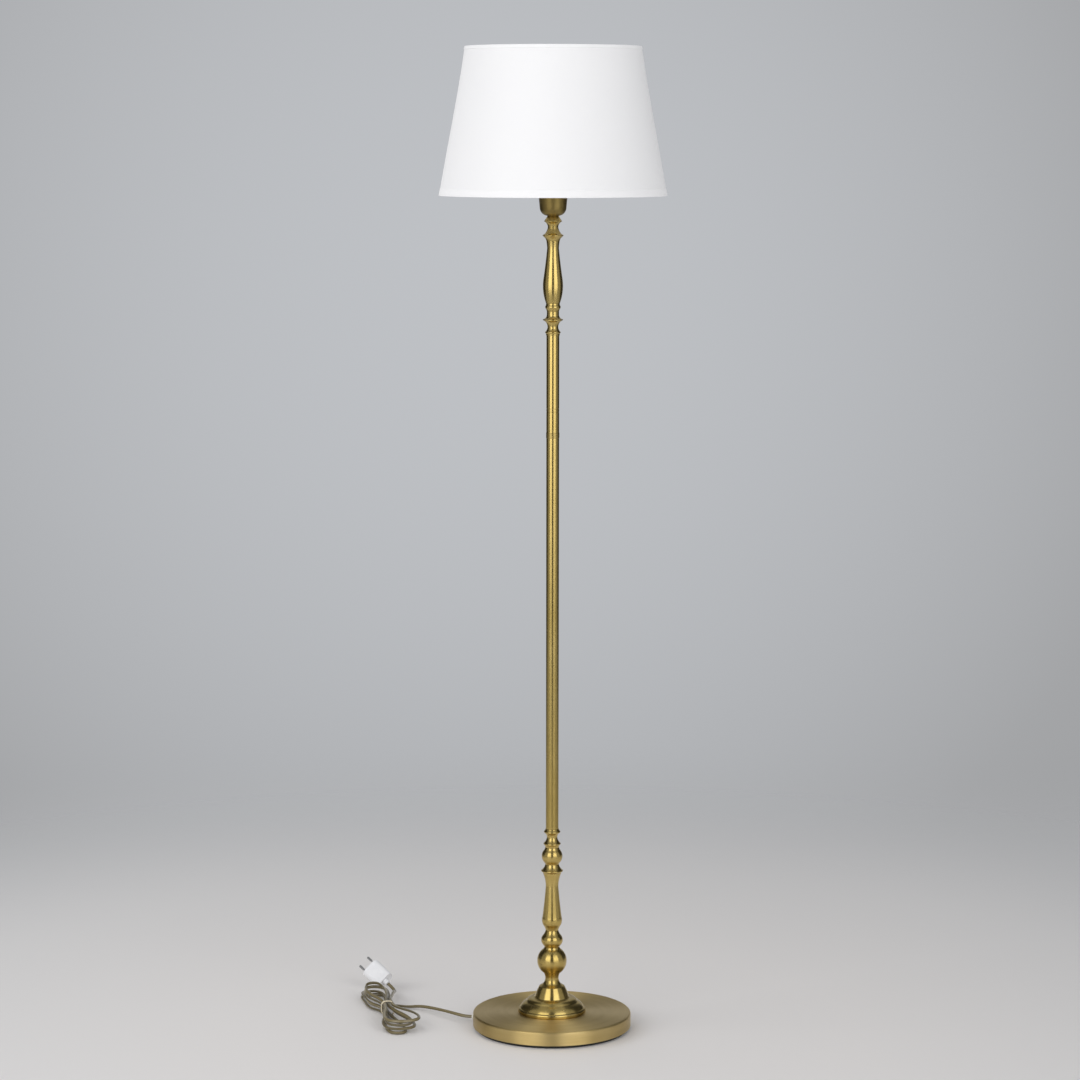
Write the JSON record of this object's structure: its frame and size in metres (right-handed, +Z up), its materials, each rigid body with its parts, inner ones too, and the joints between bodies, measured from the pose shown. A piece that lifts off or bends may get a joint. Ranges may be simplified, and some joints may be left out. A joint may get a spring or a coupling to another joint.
{
  "type": "candlestick floor lamp",
  "caption": "Candlestick floor lamp: weighted round brass base, turned brass column on a slim pole, tapered white fabric shade, and a tied mains cord with a two-pin plug",
  "frame": {"origin": "centre of the round base, on the floor", "axes": "+Z up along the column; -Y towards the viewer; the mains cord leaves the base on the -X side"},
  "size_m": [0.4951, 0.428, 1.541],
  "materials": {
    "brass": "satin brushed, turned",
    "iron": "black, rough",
    "pad": "black felt",
    "bush": "pale moulded",
    "steel": "zinc plated",
    "black_plastic": "moulded black",
    "socket": "plain",
    "contact": "plain",
    "solder": "dull",
    "bulb": "frosted",
    "shade": "fine white weave",
    "wire": "white",
    "cord": "smooth olive gold",
    "tie": "cream",
    "plug": "moulded white",
    "pins": "plated"
  },
  "bodies": {
    "stand": {"felt_pad": "pad", "base_weight": "iron", "base_shell": "brass", "cord_bush": "bush", "base_washer": "steel", "base_nut": "steel", "lower_threaded_tube": "steel", "foot_bell": "brass", "big_ball": "brass", "lower_bead": "brass", "lower_baluster": "brass", "small_ball": "brass", "lower_collar": "brass", "pole_foot_bush": "steel", "pole_lower": "brass", "pole_coupler": "brass", "pole_upper": "brass", "pole_head_bush": "steel", "upper_threaded_tube": "steel", "disc_collar": "brass", "ring_collar": "brass", "upper_baluster": "brass", "flange_collar": "brass", "cone_collar": "brass", "holder_cup": "brass", "holder_shell": "brass", "holder_core": "black_plastic", "socket_sleeve": "socket", "centre_contact": "contact", "inner_lead": "cord", "cord_lead": "cord", "cord_hank": "cord", "cord_tail": "cord", "cord_tie": "tie", "plug_front_half": "plug", "plug_back_half": "plug", "plug_pins": "pins"},
    "shade": {"shade_cover": "shade", "shade_top_ring": "wire", "shade_carrier": "wire"},
    "clamp_ring": {"shade_ring": "black_plastic"},
    "switch": {"switch_spindle": "black_plastic", "switch_knob": "black_plastic"},
    "bulb_foot": {"bulb_tip": "solder"},
    "bulb": {"bulb_cap": "socket", "bulb_glass": "bulb"}
  },
  "joints": [
    {"name": "shade_turn", "type": "hinge", "parent": "stand", "child": "shade", "pos_m": [0, 0, 1.34], "axis": [0, 0, 1], "continuous": true},
    {"name": "clamp_ring_turn", "type": "hinge", "parent": "stand", "child": "clamp_ring", "pos_m": [0, 0, 1.345], "axis": [0, 0, 1], "range_deg": [0, 90]},
    {"name": "switch_turn", "type": "hinge", "parent": "stand", "child": "switch", "pos_m": [0.02, 0, 1.32], "axis": [1, 0, 0], "continuous": true},
    {"name": "bulb_lift", "type": "slide", "parent": "stand", "child": "bulb_foot", "axis": [0, 0, 1], "range_m": [0, 0.0185]},
    {"name": "bulb_turn", "type": "hinge", "parent": "bulb_foot", "child": "bulb", "pos_m": [0, 0, 1.35], "axis": [0, 0, 1], "range_deg": [0, 1800]}
  ],
  "couplings": [
    {"joint": "bulb_lift", "follows": "bulb_turn", "m_per_rad": 0.000578}
  ]
}
